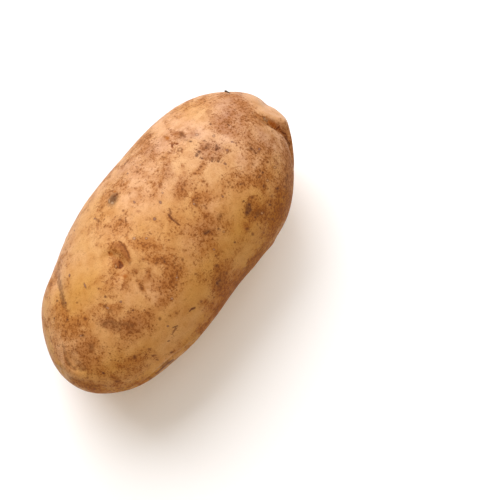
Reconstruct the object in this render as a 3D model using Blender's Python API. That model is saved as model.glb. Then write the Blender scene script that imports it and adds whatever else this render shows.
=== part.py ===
"""A large oblong potato lying on its side, in metres with +Z up.

The tuber is one solid. +X runs along it to the stem end, and the origin is the middle of the small
flat spot that it rests on, right under its weight. A place on the skin is given by how far along the
tuber it is, from -1 at the bud end to 1 at the stem end, and by the angle round the tuber, from 0 on
top towards +Y.
"""

import math
from collections import namedtuple

import bmesh
import bpy
import numpy as np

MM = 0.001

# Driving dimensions
LENGTH = 124 * MM
WIDTH = 62 * MM
HEIGHT = 56 * MM
REST_DEPTH = 0.4 * MM  # how far the rounded underside is cut flat at the resting spot
BLUNTNESS = 2.45  # 2 gives an ellipsoid, and more gives fuller ends
GRID = 80  # faces along each edge of the cube that the skin is drawn from
KEPT_FACES = 0.10  # share of the grid's triangles that stay, most of them round eyes and creases

# Each row runs over even stations from the bud end to the stem end. The middle line's places are in
# metres, and the last two rows are shares of WIDTH and HEIGHT. Their end values act on the tips.
MIDDLE_LEFT = (-1.7 * MM, -0.2 * MM, 0.0, 0.9 * MM, 1.0 * MM, -0.3 * MM, -0.9 * MM, 0.0, -0.4 * MM)
MIDDLE_UP = (1.0 * MM, 0.4 * MM, 0.0, 0.0, 0.0, 0.0, 0.0, 0.6 * MM, 1.6 * MM)
WIDTH_SHARE = (0.95, 1.01, 0.98, 0.98, 0.98, 1.01, 1.05, 1.02, 0.93)
HEIGHT_SHARE = (0.96, 0.97, 0.99, 1.00, 1.00, 1.00, 0.99, 0.97, 0.96)

Swell = namedtuple("Swell", "name along around spread height")
Eye = namedtuple("Eye", "name along around size depth brow turn")
Groove = namedtuple("Groove", "name route width depth lip")

# Broad lumps, and hollows where the height is negative
SWELLS = (
    Swell("belly_over_bud_end", -0.50, 15, 16 * MM, 0.8 * MM),
    Swell("crown_beyond_crease", 0.91, -60, 6 * MM, 0.6 * MM),
    Swell("dip_beside_crown", 0.97, -10, 5 * MM, -0.6 * MM),
    Swell("waist_by_side_fold", -0.62, -92, 9 * MM, -1.1 * MM),
)

# An eye is a scoop of this radius, steep under a raised brow on its stem side and running out gently on
# the other. Turn swings the brow round the eye, in degrees to the left as seen from outside.
EYES = (
    Eye("belly_eye", -0.42, 8, 6.4 * MM, 1.3 * MM, 0.4 * MM, -14),
    Eye("bud_end_eye", -0.90, -4, 5.2 * MM, 0.8 * MM, 0.5 * MM, 158),
    Eye("upper_eye", 0.37, 20, 4.2 * MM, 0.7 * MM, 0.2 * MM, 0),
    Eye("far_flank_eye", 0.12, 112, 5.4 * MM, 1.4 * MM, 0.5 * MM, 0),
    Eye("bud_flank_eye", -0.62, 128, 5.0 * MM, 1.3 * MM, 0.5 * MM, 15),
    Eye("near_flank_eye", 0.22, -108, 5.4 * MM, 1.4 * MM, 0.5 * MM, 0),
    Eye("under_bud_eye", -0.84, -150, 4.6 * MM, 1.2 * MM, 0.4 * MM, -20),
    Eye("under_stem_eye", 0.66, 158, 5.0 * MM, 1.2 * MM, 0.4 * MM, 0),
    Eye("bud_tip_eye", -0.985, 60, 3.4 * MM, 0.9 * MM, 0.3 * MM, 0),
)

# A groove follows the skin through (along, around) places, with a lip on its left as seen from outside.
GROOVES = (
    Groove(
        "stem_crease",
        ((0.80, -8), (0.81, -22), (0.83, -38), (0.84, -56), (0.80, -72), (0.72, -88)),
        1.3 * MM, 2.2 * MM, 0.8 * MM,
    ),
    Groove(
        "bud_shoulder",
        ((-0.48, 70), (-0.57, 56), (-0.66, 38), (-0.74, 22)),
        3.0 * MM, 0.6 * MM, 0.0,
    ),
    Groove(
        "side_fold",
        ((-0.84, -100), (-0.76, -93), (-0.69, -87), (-0.60, -85), (-0.50, -90), (-0.40, -102)),
        1.8 * MM, 1.5 * MM, 0.7 * MM,
    ),
)

ROUTE_STEPS = 40  # points at which a groove's route is followed

SKIN_COLOUR = (0.66, 0.42, 0.20, 1.0)
SKIN_ROUGHNESS = 0.6


def smooth_through(stations, along):
    """The value at along, from -1 to 1, of a smooth curve through evenly spaced stations."""
    padded = np.array((stations[0], *stations, stations[-1]), float)
    place = (np.asarray(along, float) + 1) / 2 * (len(stations) - 1)
    first = np.clip(np.floor(place).astype(int), 0, len(stations) - 2)
    t = place - first
    before, start, end, after = (padded[first + k] for k in range(4))
    slope_in = (end - before) / 2
    slope_out = (after - start) / 2
    rise = end - start
    bend = 3 * rise - 2 * slope_in - slope_out
    return start + t * (slope_in + t * (bend + t * (slope_in + slope_out - 2 * rise)))


def body_points(directions):
    """Points of the plain body, one for each unit vector from the middle of the tuber."""
    along, left, up = directions.T
    ring = np.sqrt(np.maximum(1 - np.abs(along) ** BLUNTNESS, 0) / np.maximum(1 - along**2, 1e-9))
    half_width = ring * smooth_through(WIDTH_SHARE, along) * WIDTH / 2
    half_height = ring * smooth_through(HEIGHT_SHARE, along) * HEIGHT / 2
    y = smooth_through(MIDDLE_LEFT, along) + left * half_width
    z = smooth_through(MIDDLE_UP, along) + up * half_height
    return np.stack([along * LENGTH / 2, y, z], axis=1)


def outward(points):
    """Unit vectors that point out of the body, taken from the ellipsoid of the same size."""
    scaled = points / np.array([LENGTH**2, WIDTH**2, HEIGHT**2])
    return scaled / np.linalg.norm(scaled, axis=1, keepdims=True)


def place_on_body(along, around):
    """The point of the plain body at a place, and the unit vectors out of the skin, to the stem and across."""
    angle = math.radians(around)
    off_axis = math.sqrt(1 - along**2)
    direction = np.array([[along, off_axis * math.sin(angle), off_axis * math.cos(angle)]])
    point = body_points(direction)
    out = outward(point)[0]
    stemward = np.array([1.0, 0.0, 0.0]) - out[0] * out
    stemward /= np.linalg.norm(stemward)
    return point[0], out, stemward, np.cross(out, stemward)


def swell_height(points, swell):
    middle = place_on_body(swell.along, swell.around)[0]
    distance = np.linalg.norm(points - middle, axis=1)
    return swell.height * np.exp(-((distance / swell.spread) ** 2))


def smooth_step(share):
    """A rise from 0 to 1 that starts and ends level, as share goes from 0 to 1."""
    share = np.clip(share, 0, 1)
    return share**2 * (3 - 2 * share)


def eye_height(points, eye):
    """A scoop with a low bud in its middle, and the brow over it."""
    middle, _, stemward, across = place_on_body(eye.along, eye.around)
    turn = math.radians(eye.turn)
    facing = math.cos(turn) * stemward + math.sin(turn) * across
    offset = points - middle
    distance = np.linalg.norm(offset, axis=1)
    towards_brow = offset @ facing
    edge = smooth_step((eye.size - distance) / (0.45 * eye.size))
    scoop = edge * np.exp(-(((eye.size - towards_brow) / (1.1 * eye.size)) ** 2))
    bud = np.exp(-((distance / (0.3 * eye.size)) ** 2))
    brow = np.exp(-(((distance - 1.2 * eye.size) / (0.4 * eye.size)) ** 2))
    brow *= np.clip(towards_brow / np.maximum(distance, 1e-9), 0, 1)
    return eye.brow * brow - eye.depth * (scoop - 0.25 * bud)


def groove_height(points, groove):
    """A valley along the route that fades out at its ends, with a lip on its left."""
    steps = np.linspace(-1, 1, ROUTE_STEPS)
    places = np.array(groove.route)
    alongs = smooth_through(places[:, 0], steps)
    arounds = smooth_through(places[:, 1], steps)
    samples = [place_on_body(*place)[:2] for place in zip(alongs, arounds)]
    route, out = (np.array(column) for column in zip(*samples))
    leftward = np.cross(out, np.gradient(route, axis=0))
    leftward /= np.linalg.norm(leftward, axis=1, keepdims=True)
    offsets = points[:, None, :] - route[None, :, :]
    distances = np.linalg.norm(offsets, axis=2)
    nearest = distances.argmin(axis=1)
    rows = np.arange(len(points))
    distance = distances[rows, nearest]
    leftness = np.einsum("ij,ij->i", offsets[rows, nearest], leftward[nearest]) / np.maximum(distance, 1e-9)
    fade = 1 - steps[nearest] ** 2
    valley = np.exp(-((distance / groove.width) ** 2))
    lip = np.exp(-(((distance - 2 * groove.width) / (1.5 * groove.width)) ** 2)) * np.clip(leftness, 0, 1)
    return fade * (groove.lip * lip - groove.depth * valley)


def tuber_points(directions):
    """Points of the finished skin: the body, with its swells, eyes and grooves raised along its normals."""
    points = body_points(directions)
    height = sum(swell_height(points, swell) for swell in SWELLS)
    height += sum(eye_height(points, eye) for eye in EYES)
    height += sum(groove_height(points, groove) for groove in GROOVES)
    return points + outward(points) * height[:, None]


def centre_of_weight(mesh):
    """The middle of the solid inside a closed mesh of triangles and quads."""
    total = np.zeros(3)
    volume = 0.0
    for face in mesh.faces:
        corners = [np.array(v.co) for v in face.verts]
        for second, third in zip(corners[1:], corners[2:]):
            part = np.dot(corners[0], np.cross(second, third)) / 6
            volume += part
            total += part * (corners[0] + second + third) / 4
    return total / volume


def make_skin():
    """A closed mesh of the whole tuber: a cube cut into a grid and blown up to the skin."""
    mesh = bmesh.new()
    bmesh.ops.create_cube(mesh, size=2)
    bmesh.ops.subdivide_edges(mesh, edges=mesh.edges[:], cuts=GRID - 1, use_grid_fill=True)
    # The tangent spreads the cube's grid evenly over the sphere.
    cube = np.tan(np.array([v.co for v in mesh.verts]) * math.pi / 4)
    directions = cube / np.linalg.norm(cube, axis=1, keepdims=True)
    for vertex, point in zip(mesh.verts, tuber_points(directions)):
        vertex.co = point
    return mesh


def make_rest_cutter():
    """A block under the ground, which cuts the underside flat."""
    bpy.ops.mesh.primitive_cube_add(size=1, location=(0, 0, -HEIGHT / 2))
    cutter = bpy.context.object
    cutter.name = "rest_cutter"
    cutter.scale = (LENGTH, WIDTH, HEIGHT)
    cutter.hide_render = True
    cutter.display_type = "WIRE"
    return cutter


def make_tuber(cutter):
    """The tuber with its weight over the origin, and its underside cut flat at the ground."""
    mesh = make_skin()
    middle = centre_of_weight(mesh)
    lowest = min(v.co.z for v in mesh.verts)
    data = bpy.data.meshes.new("potato")
    mesh.to_mesh(data)
    mesh.free()
    data.shade_smooth()
    data.materials.append(skin_material())
    tuber = bpy.data.objects.new("potato", data)
    tuber.location = (-middle[0], -middle[1], -lowest - REST_DEPTH)
    thinning = tuber.modifiers.new("Thinning", "DECIMATE")
    thinning.ratio = KEPT_FACES
    flat_spot = tuber.modifiers.new("Flat spot", "BOOLEAN")
    flat_spot.operation = "DIFFERENCE"
    flat_spot.object = cutter
    return tuber


def skin_material():
    material = bpy.data.materials.new("potato_skin")
    material.use_nodes = True
    shader = material.node_tree.nodes["Principled BSDF"]
    shader.inputs["Base Color"].default_value = SKIN_COLOUR
    shader.inputs["Roughness"].default_value = SKIN_ROUGHNESS
    shader.inputs["Metallic"].default_value = 0.0
    return material


def into_collection(name, piece):
    collection = bpy.data.collections.new(name)
    bpy.context.scene.collection.children.link(collection)
    for old_home in piece.users_collection:
        old_home.objects.unlink(piece)
    collection.objects.link(piece)


def main():
    for old in list(bpy.data.objects):
        bpy.data.objects.remove(old)
    cutter = make_rest_cutter()
    into_collection("cutters", cutter)
    into_collection("potato", make_tuber(cutter))


main()
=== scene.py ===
"""The potato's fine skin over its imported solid, on a pale floor in soft light.

The skin is one closed mesh, drawn from the same formulas as the solid and fitted to its box. What shows
in the photograph is placed by pixel and cast onto the skin, and the sides that it doesn't show are
marked in the same way by seeded draws. Lengths are in metres, but for those given in pixels of the
photograph, and +X runs to the stem end.
"""

import math
import random
from collections import namedtuple

import bmesh
import bpy
import numpy as np
from mathutils import Matrix, Vector, noise
from mathutils.bvhtree import BVHTree


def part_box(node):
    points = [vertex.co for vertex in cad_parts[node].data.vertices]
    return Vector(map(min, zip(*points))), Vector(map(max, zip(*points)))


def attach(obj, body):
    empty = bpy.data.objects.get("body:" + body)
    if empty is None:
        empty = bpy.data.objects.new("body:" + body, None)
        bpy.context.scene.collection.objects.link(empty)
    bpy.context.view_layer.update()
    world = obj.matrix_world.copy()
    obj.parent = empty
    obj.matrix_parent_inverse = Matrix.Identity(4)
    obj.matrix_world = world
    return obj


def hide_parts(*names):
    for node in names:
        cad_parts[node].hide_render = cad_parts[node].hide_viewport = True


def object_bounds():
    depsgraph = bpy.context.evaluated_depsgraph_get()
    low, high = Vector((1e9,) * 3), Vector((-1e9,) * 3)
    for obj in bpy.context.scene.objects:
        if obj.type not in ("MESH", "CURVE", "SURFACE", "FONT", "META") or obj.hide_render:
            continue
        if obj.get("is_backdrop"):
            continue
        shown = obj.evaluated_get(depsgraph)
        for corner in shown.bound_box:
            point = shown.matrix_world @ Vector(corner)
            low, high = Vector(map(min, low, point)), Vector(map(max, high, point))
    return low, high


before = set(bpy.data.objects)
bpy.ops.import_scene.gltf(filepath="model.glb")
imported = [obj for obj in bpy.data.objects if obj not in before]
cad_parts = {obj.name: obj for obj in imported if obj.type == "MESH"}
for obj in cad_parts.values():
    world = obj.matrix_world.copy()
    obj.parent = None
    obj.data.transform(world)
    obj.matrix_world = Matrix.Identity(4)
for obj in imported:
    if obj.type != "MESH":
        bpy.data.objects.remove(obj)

CAD_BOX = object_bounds()
TUBER_LOW, TUBER_HIGH = (np.array(corner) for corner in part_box("potato"))

MM = 0.001
TINY = 1e-9  # keeps a divisor above nothing
LEVEL = 1e-6  # places no farther apart than this count as level

# The tuber, as its solid is drawn
LENGTH = 124 * MM
WIDTH = 62 * MM
HEIGHT = 56 * MM
REST_DEPTH = 0.4 * MM  # how far the rounded underside is cut flat at the resting spot
BLUNTNESS = 2.45  # 2 gives an ellipsoid, and more gives fuller ends
FACES_ALONG = 196  # of the grid on each long side
FACES_ACROSS = 98

# Each row runs over even stations from the bud end to the stem end. The middle line's places are in
# metres, and the last two rows are shares of WIDTH and HEIGHT. Their end values act on the tips.
MIDDLE_LEFT = (-1.7 * MM, -0.2 * MM, 0.0, 0.9 * MM, 1.0 * MM, -0.3 * MM, -0.9 * MM, 0.0, -0.4 * MM)
MIDDLE_UP = (1.0 * MM, 0.4 * MM, 0.0, 0.0, 0.0, 0.0, 0.0, 0.6 * MM, 1.6 * MM)
WIDTH_SHARE = (0.95, 1.01, 0.98, 0.98, 0.98, 1.01, 1.05, 1.02, 0.93)
HEIGHT_SHARE = (0.96, 0.97, 0.99, 1.00, 1.00, 1.00, 0.99, 0.97, 0.96)

# Along runs from -1 at the bud end to 1 at the stem end, and around is in degrees from 0 on top towards
# +Y. The names are for the reader.
Swell = namedtuple("Swell", "name along around spread height")
Eye = namedtuple("Eye", "name along around size depth brow turn")
Groove = namedtuple("Groove", "name route width depth lip")

# Broad lumps, and hollows where the height is negative
SWELLS = (
    Swell("belly_over_bud_end", -0.50, 15, 16 * MM, 0.8 * MM),
    Swell("crown_beyond_crease", 0.91, -60, 6 * MM, 0.6 * MM),
    Swell("dip_beside_crown", 0.97, -10, 5 * MM, -0.6 * MM),
    Swell("waist_by_side_fold", -0.62, -92, 9 * MM, -1.1 * MM),
)

# An eye is a scoop of this radius, steep under a raised brow on its stem side and running out gently on
# the other. Turn swings the brow round the eye, in degrees to the left as seen from outside.
EYES = (
    Eye("belly_eye", -0.42, 8, 6.4 * MM, 1.3 * MM, 0.4 * MM, -14),
    Eye("bud_end_eye", -0.90, -4, 5.2 * MM, 0.8 * MM, 0.5 * MM, 158),
    Eye("upper_eye", 0.37, 20, 4.2 * MM, 0.7 * MM, 0.2 * MM, 0),
    Eye("far_flank_eye", 0.12, 112, 5.4 * MM, 1.4 * MM, 0.5 * MM, 0),
    Eye("bud_flank_eye", -0.62, 128, 5.0 * MM, 1.3 * MM, 0.5 * MM, 15),
    Eye("near_flank_eye", 0.22, -108, 5.4 * MM, 1.4 * MM, 0.5 * MM, 0),
    Eye("under_bud_eye", -0.84, -150, 4.6 * MM, 1.2 * MM, 0.4 * MM, -20),
    Eye("under_stem_eye", 0.66, 158, 5.0 * MM, 1.2 * MM, 0.4 * MM, 0),
    Eye("bud_tip_eye", -0.985, 60, 3.4 * MM, 0.9 * MM, 0.3 * MM, 0),
)

# Shares of an eye's size, and the height of its low bud as a share of its depth
EYE_EDGE = 0.45
EYE_SLOPE = 1.1
EYE_BUD = 0.3
EYE_BUD_HEIGHT = 0.25
BROW_DISTANCE = 1.2
BROW_WIDTH = 0.4

# A groove follows the skin through (along, around) places, with a lip on its left as seen from outside.
GROOVES = (
    Groove(
        "stem_crease",
        ((0.80, -8), (0.81, -22), (0.83, -38), (0.84, -56), (0.80, -72), (0.72, -88)),
        1.3 * MM, 2.2 * MM, 0.8 * MM,
    ),
    Groove(
        "bud_shoulder",
        ((-0.48, 70), (-0.57, 56), (-0.66, 38), (-0.74, 22)),
        3.0 * MM, 0.6 * MM, 0.0,
    ),
    Groove(
        "side_fold",
        ((-0.84, -100), (-0.76, -93), (-0.69, -87), (-0.60, -85), (-0.50, -90), (-0.40, -102)),
        1.8 * MM, 1.5 * MM, 0.7 * MM,
    ),
)
ROUTE_STEPS = 40  # points at which a groove's route is followed
LIP_DISTANCE = 2  # from the middle of the groove, in its widths
LIP_WIDTH = 1.5  # in the same widths

# The photograph's camera, looking down on the potato
PHOTO_SIDE = 500  # pixels
CAMERA_AZIMUTH = -57.5  # 0 looks along +Y
CAMERA_ELEVATION = 70.0
CAMERA_DISTANCE = 492 * MM
CLIP_START = 10 * MM
LENS = 100.0
SENSOR = 36.0
MIDDLE = np.array([0.0, 0.0, 27 * MM])  # the point of the tuber that the aim is taken at
MIDDLE_PIXEL = (169.6, 237.9)  # where that point shows in the photograph
PIXEL = SENSOR / PHOTO_SIDE * CAMERA_DISTANCE / LENS  # a pixel's width at the tuber

# The unwrapping: stretches in its two columns, the sides' share of its width, and the gap round a stretch
UV_SIDES = 4
UV_ENDS = 2
UV_SIDES_WIDTH = 0.66
UV_MARGIN = 0.01

# Lumps and fine grain of the skin, as wavelength, height and seed
RIPPLES = (
    (26 * MM, 0.35 * MM, 1.7),
    (12 * MM, 0.16 * MM, 5.2),
    (4.5 * MM, 0.045 * MM, 9.1),
    (2.0 * MM, 0.02 * MM, 12.4),
)
RUSSET_GRAIN = 0.07 * MM
RUSSET_GRAIN_LENGTH = 1.8 * MM
RUSSET_GRAIN_SEED = 3.3
SEED_STEPS = (1.0, 2.3, 4.1)  # how far a seed of 1 shifts the ripples along X, Y and Z

# How patches and marks end
BLOT_EDGE = 2.6  # a higher power gives a harder edge
BLOT_LIMIT = 45 * MM  # farther than this from its middle a patch has no effect
MARK_LIMIT = 12 * MM  # the same for a mark
MARK_MARGIN = 1.0 * MM  # how far past its edge a mark's offset is kept, more than one face across
MARK_SLOPE = 1.6  # a mark's relief is gone at this share of its size
NO_MARK = 6.0  # the offset where no mark is near

# How the skin faces is the cosine between its direction and the camera's.
HIDDEN_FACING = 0.10  # under this the skin counts as hidden and takes seeded patches and marks
FULL_FACING = 0.16  # from this on the photograph's patches show in full

# Seeded patches and marks: lengths and strengths are shares of the full ones, and widths of the lengths.
HIDDEN_SEED = 7
HIDDEN_SPOTS = 420
HIDDEN_SPOT_LENGTH = 1.0 * MM
HIDDEN_SPOT_LENGTHS = (0.5, 1.3)
HIDDEN_SPOT_WIDTHS = (0.5, 1.0)
HIDDEN_PATCH_LENGTHS = (0.35, 1.0)
HIDDEN_PATCH_WIDTHS = (0.35, 0.8)
HIDDEN_PATCH_STRENGTHS = (0.4, 1.0)
HIDDEN_TONES = ("soot", "brown", "rust", "orange", "violet", "pore", "ring")
HALF_TURN = 180
SLANT = (0.3, 0.5, 0.8)  # a direction away from the axes, square to which a turn of 0 lies

# sRGB colours of the skin
PEACH = (207, 158, 113)
GOLD = (203, 153, 97)
# also the colour of painted warm shade and reflected light towards the lower right and bottom
OLIVE_GOLD = (188, 141, 74)
TAN = (182, 125, 68)
# These browns to BARK are russet's, and also colour the painted shade on the right limb and bottom edge
STAIN = (172, 113, 58)
RUSSET_LIGHT = (160, 99, 46)
RUSSET_DEEP = (144, 81, 29)
BARK = (110, 58, 20)
# also the colour of painted shade in creases, under brows and folds and down the right limb
DIRT_AND_SHADE = (116, 76, 44)
MAUVE = (160, 112, 80)
FRECKLE = (122, 70, 32)

# What the drifts of tone multiply the skin's colour by. Partly painted light: pale makes the upper, lit
# side creamier, and olive and deep make the shaded lower right and bottom warmer and deeper.
TINTS = {"olive": (0.98, 0.88, 0.36), "pale": (1.07, 1.17, 1.54), "deep": (0.87, 0.71, 0.33)}

# Noises that the skin's colour and bumps are made from, with scales in waves a metre
Field = namedtuple("Field", "scale detail roughness distortion", defaults=(0.0,))
SKIN_FIELDS = {
    "drift": Field(45.0, 3.0, 0.55),
    "fine_drift": Field(320.0, 4.0, 0.6),
    "cloud": Field(110.0, 5.0, 0.62, 0.3),
    "blotch": Field(230.0, 3.0, 0.6),
    "mottle": Field(420.0, 6.0, 0.7, 0.2),
    "net": Field(1100.0, 4.0, 0.7, 0.3),
    "grit": Field(2600.0, 2.0, 0.6),
    "ragged": Field(1500.0, 3.0, 0.6),
    "grain": Field(1400.0, 4.0, 0.6),
}
STUB_FIELD = Field(2500.0, 3.0, 0.6)
FLOOR_FIELD = Field(3.0, 2.0, 0.5)

# The lowest and highest value that count, and what they are turned into where that isn't 0 and 1
GOLD_RANGE = (0.38, 0.62)
TAN_RANGE = (0.4, 0.75, 0.0, 0.6)
CLOUD_RANGE = (0.35, 0.75, -0.15, 0.65)
FLUSH_RANGE = (0.25, 0.65, 0.25, 0.95)
GRIT_RANGE = (0.45, 0.8, 0.0, 0.45)
MARK_CORE_RANGE = (0.7, 1.3, 1.0, 0.0)  # in shares of the mark's size, as the next one
MARK_RANGE = (1.0, 2.0, 1.0, 0.0)
STUB_RANGE = (0.4, 0.7)
ROUGHNESS_RANGE = (0.0, 1.0, 0.46, 0.68)  # from light skin to brown

# A coat of colour. A noise, as it goes from low to high, moves the coat's amount from swing below to
# swing above. The coat starts at the amount start and has its strength in full from the amount full on.
Coat = namedtuple("Coat", "low high swing start full strength colour")
TINT_COAT = Coat(0.35, 0.65, 0.35, -0.2, 0.9, 0.55, STAIN)
BROWN_COAT = Coat(0.3, 0.7, 0.35, 0.0, 1.0, 0.52, RUSSET_LIGHT)
CRUST_COAT = Coat(0.36, 0.64, 0.7, 0.35, 1.35, 0.55, RUSSET_DEEP)
FLECK_COAT = Coat(0.36, 0.64, 1.2, 0.9, 1.8, 0.55, BARK)
SOIL_AND_SHADE_COAT = Coat(0.3, 0.7, 0.3, 0.1, 0.9, 0.8, DIRT_AND_SHADE)
# olive gold is partly painted warm shade and reflected light
OLIVE_SHARE = 0.9  # of olive gold where the light skin is most olive
# the painted highlights take away the same share
CLEAR_AND_HIGHLIGHT_SHARE = 0.45  # of the brown that the clearest skin takes away

# Small dark dots: cells a metre, how rare, size in cells, and the least and most strength, by how brown
Freckle = namedtuple("Freckle", "scale rarity size least most")
FRECKLES = (
    Freckle(420.0, 0.72, 0.26, 0.20, 0.70),
    Freckle(850.0, 0.62, 0.40, 0.06, 0.80),
    Freckle(1500.0, 0.50, 0.42, 0.04, 0.65),
)
FRECKLE_CORE = 0.4  # the share of its size at which a dot begins to fade
FRECKLE_CROWDING = 0.35  # how much less rare they are where the skin is specked
FRECKLE_RISE = 0.1  # past its rarity, where a dot is full
FRECKLE_BROWN = (-0.1, 0.6)  # how brown and specked the skin is at the least and the most strength

# The skin's shine and bumps
SKIN_SHINE = 0.12
SKIN_BUMP = (0.6, 0.04 * MM)  # strength and distance
MARK_RAGGEDNESS = 0.9  # how much of a noise is added to the distance from a mark
MARK_DIP = 0.5
CRUST_BUMP = 1.2

# The stub of the stolon: a photo pixel inside its root, and its route and half widths in pixels from there
STUB_ROOT = (226.5, 94.5)
STUB_ROUTE = ((3.6, 1.4), (1.8, 2.2), (0.4, 2.8), (-0.9, 3.4), (-2.0, 3.8))
STUB_HALF_WIDTHS = (0.25, 0.55, 0.75, 1.05, 0.50)
STUB_SIDES = 10
STUB_RIDGES = 3
STUB_RIDGE_HEIGHT = 0.2  # a share of the half width
STUB_DARK = (38, 26, 14)
STUB_LIGHT = (92, 62, 34)
STUB_ROUGHNESS = 0.8
STUB_BUMP = (0.7, 0.1 * MM)

# The floor, in sRGB, and half its side
FLOOR_LIGHT = (245, 248, 254)
FLOOR_DARK = (241, 245, 252)
FLOOR_ROUGHNESS = 0.9
FLOOR_SHINE = 0.1
FLOOR_GLOW = 0.05
FLOOR_HALF = 2.0
FLOOR_CELLS = 8

# Soft lamps. Around is in degrees anticlockwise from the photograph's right, and high from the floor.
Lamp = namedtuple("Lamp", "name around high distance size watts colour")
LAMPS = (
    Lamp("key", 128, 50, 1.4, 1.2, 23.0, (255, 253, 251)),
    Lamp("side", 80, 28, 1.4, 0.9, 6.5, (253, 253, 255)),
    Lamp("fill", 300, 58, 1.4, 0.9, 8.0, (255, 229, 192)),
    Lamp("top", 0, 86, 1.4, 0.9, 4.0, (255, 251, 245)),
)
WORLD_COLOUR = (255, 250, 243)
WORLD_STRENGTH = 0.06

# What shows in the photograph, placed by pixel. A turn is in degrees, anticlockwise from the picture's
# horizontal, and lengths and widths are in pixels.
Patch = namedtuple("Patch", "x y length width turn strength")
Smear = namedtuple("Smear", "strength width route")
Spot = namedtuple("Spot", "x y length width turn", defaults=(0,))
Stroke = namedtuple("Stroke", "tone width route")
Tone = namedtuple("Tone", "rim core strength relief")

# A layer's patches and smears, and then its seeded patches: how many, with the most length and strength.
# Past is how far the photograph's own reach beyond its limb, as a cosine below 0.
Layer = namedtuple("Layer", "patches smears hidden longest strongest past", defaults=(0.0,))


def patches(*rows):
    return [Patch(*row) for row in rows]


def lines(kind, *rows):
    """Smears or strokes, from rows of the first two values and then each pixel of the route."""
    return [kind(first, width, route) for first, width, *route in rows]


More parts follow.
